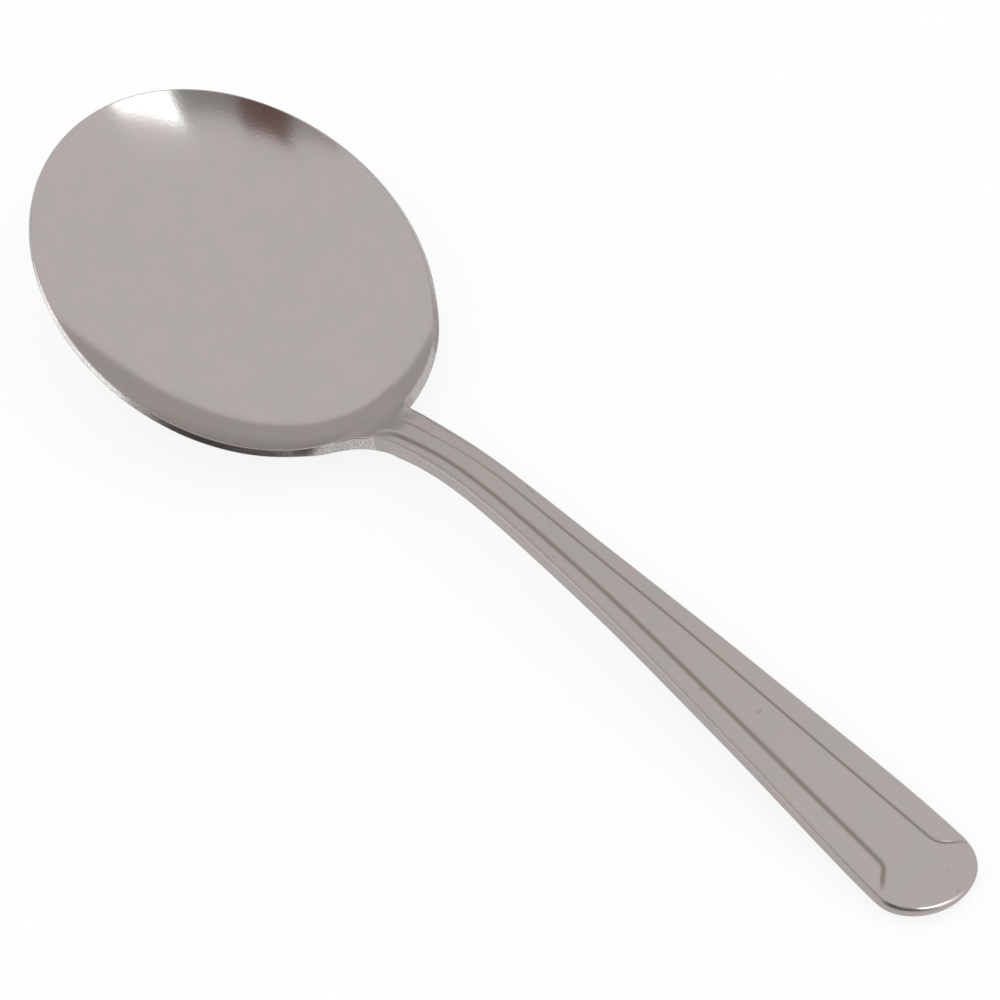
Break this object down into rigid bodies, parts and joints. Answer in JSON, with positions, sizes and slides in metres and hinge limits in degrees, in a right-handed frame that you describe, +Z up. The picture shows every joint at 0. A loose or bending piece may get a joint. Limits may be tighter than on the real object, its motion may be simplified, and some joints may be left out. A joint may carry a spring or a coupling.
{
  "type": "soup spoon",
  "caption": "Stamped stainless steel soup spoon with a broad oval bowl and an arched handle bordered by pressed lines.",
  "frame": {"origin": "centre of the bounding box's bottom, on the table that the spoon lies on", "axes": "+X along the spoon from the bowl to the handle's tip, +Z up, the bowl's open side up"},
  "size_m": [0.163, 0.0516, 0.0194],
  "materials": {
    "stainless_steel": "tumbled satin"
  },
  "bodies": {
    "root": {"bowl": "stainless_steel", "handle": "stainless_steel"}
  },
  "joints": []
}
